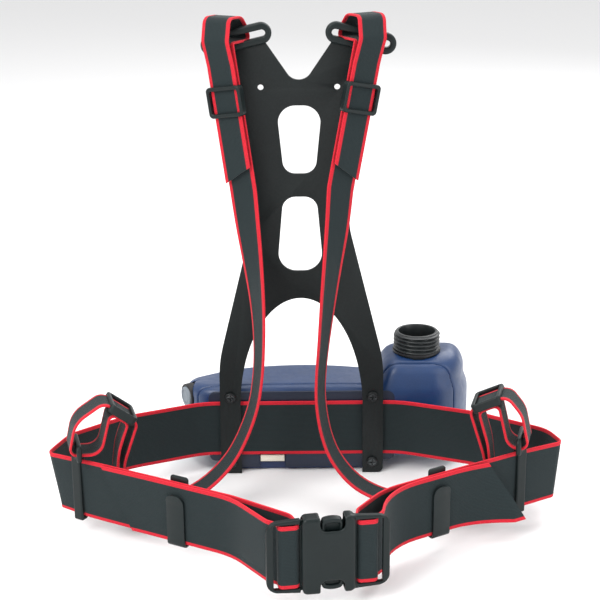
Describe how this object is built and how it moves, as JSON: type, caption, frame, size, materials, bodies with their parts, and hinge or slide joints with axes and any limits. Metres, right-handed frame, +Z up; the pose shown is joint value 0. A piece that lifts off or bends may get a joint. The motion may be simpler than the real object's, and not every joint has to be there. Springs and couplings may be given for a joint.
{
  "type": "powered air respirator belt unit with harness",
  "caption": "Belt-worn powered air blower unit with hose neck, black back plate, shoulder straps and a waist belt with a side-release buckle.",
  "frame": {"origin": "middle of the object's bounding box, on the surface that it stands on", "axes": "+Z up along the back plate and the hose neck, +Y away from the wearer towards the blower unit, +X to the right for someone facing the wearer's side"},
  "size_m": [0.408, 0.312, 0.4019],
  "materials": {
    "plate": "black fine-textured powder coat",
    "black_plastic": "satin moulded acetal",
    "webbing": "dark slate polyester webbing with red woven edges",
    "casing": "navy satin moulding",
    "carrier": "dark navy moulding",
    "screw": "black oxide",
    "neck": "dark moulded nylon",
    "seal": "matt rubber",
    "cap": "grey moulded cap",
    "latch": "cream moulding",
    "inner_plastic": "natural nylon",
    "steel": "ground steel",
    "motor_can": "drawn can",
    "board": "green circuit board",
    "battery": "navy moulded battery case",
    "contact": "plated pins"
  },
  "bodies": {
    "harness": {"back_plate": "plate", "slot_ring_left": "black_plastic", "slot_ring_right": "black_plastic", "plate_screws": "screw", "shoulder_strap_left": "webbing", "shoulder_strap_right": "webbing", "side_adjuster_left": "black_plastic", "side_adjuster_right": "black_plastic", "strap_hanger_left": "black_plastic", "strap_hanger_right": "black_plastic", "waist_belt": "webbing", "belt_tail_left": "webbing", "buckle_female": "black_plastic", "belt_carrier": "carrier", "casing_front": "casing", "casing_rear": "casing", "hose_neck": "neck", "neck_seal": "seal", "filter_port_left": "neck", "filter_port_right": "neck", "filter_gasket_left": "seal", "filter_gasket_right": "seal", "blower_volute": "inner_plastic", "shaft_bearing": "contact", "motor": "motor_can", "controller_board": "board", "battery_contacts": "contact", "button_bezel": "seal", "case_screws": "steel"},
    "male_half": {"buckle_male": "black_plastic", "belt_end_left": "webbing"},
    "prong_upper": {"buckle_prong_upper": "black_plastic"},
    "prong_lower": {"buckle_prong_lower": "black_plastic"},
    "rotor": {"impeller": "inner_plastic", "motor_shaft": "steel"},
    "battery": {"battery_pack": "battery"},
    "latch": {"battery_latch": "latch"},
    "button": {"power_button": "cap"},
    "keeper_left": {"belt_keeper_left": "black_plastic"},
    "keeper_right": {"belt_keeper_right": "black_plastic"},
    "adjuster_left": {"strap_adjuster_left": "black_plastic"},
    "adjuster_right": {"strap_adjuster_right": "black_plastic"}
  },
  "joints": [
    {"name": "buckle_release", "type": "slide", "parent": "harness", "child": "male_half", "axis": [-0.9877, -0.1564, 0], "range_m": [0, 0.036], "deforming": ["belt_end_left"]},
    {"name": "prong_upper_squeeze", "type": "hinge", "parent": "male_half", "child": "prong_upper", "pos_m": [-0.00023, -0.14764, 0.059], "axis": [-0.1564, 0.9877, 0], "range_deg": [0, 9], "stiffness_Nm_per_rad": 0.3},
    {"name": "prong_lower_squeeze", "type": "hinge", "parent": "male_half", "child": "prong_lower", "pos_m": [-0.00023, -0.14764, 0.023], "axis": [0.1564, -0.9877, 0], "range_deg": [0, 9], "stiffness_Nm_per_rad": 0.3},
    {"name": "impeller_spin", "type": "hinge", "parent": "harness", "child": "rotor", "pos_m": [0.0976, 0.12105, 0.054], "axis": [0, 1, 0], "continuous": true},
    {"name": "battery_slide", "type": "slide", "parent": "harness", "child": "battery", "axis": [0, 0, -1], "range_m": [0, 0.032]},
    {"name": "battery_latch_press", "type": "slide", "parent": "battery", "child": "latch", "axis": [0, 1, 0], "range_m": [0, 0.002], "stiffness_N_per_m": 800},
    {"name": "power_button_press", "type": "slide", "parent": "harness", "child": "button", "axis": [0.8642, 0.5031, 0], "range_m": [0, 0.0015], "stiffness_N_per_m": 1500},
    {"name": "keeper_left_slide", "type": "slide", "parent": "harness", "child": "keeper_left", "axis": [0.8707, -0.4918, 0], "range_m": [-0.008, 0.008]},
    {"name": "keeper_right_slide", "type": "slide", "parent": "harness", "child": "keeper_right", "axis": [0.8537, 0.5208, 0], "range_m": [-0.008, 0.008]},
    {"name": "adjuster_left_slide", "type": "slide", "parent": "harness", "child": "adjuster_left", "axis": [-0.1381, 0.0734, 0.9877], "range_m": [-0.012, 0.012]},
    {"name": "adjuster_right_slide", "type": "slide", "parent": "harness", "child": "adjuster_right", "axis": [0.1836, 0.0976, 0.9781], "range_m": [-0.012, 0.012]}
  ],
  "couplings": [
    {"joint": "prong_lower_squeeze", "follows": "prong_upper_squeeze", "ratio": 1}
  ]
}
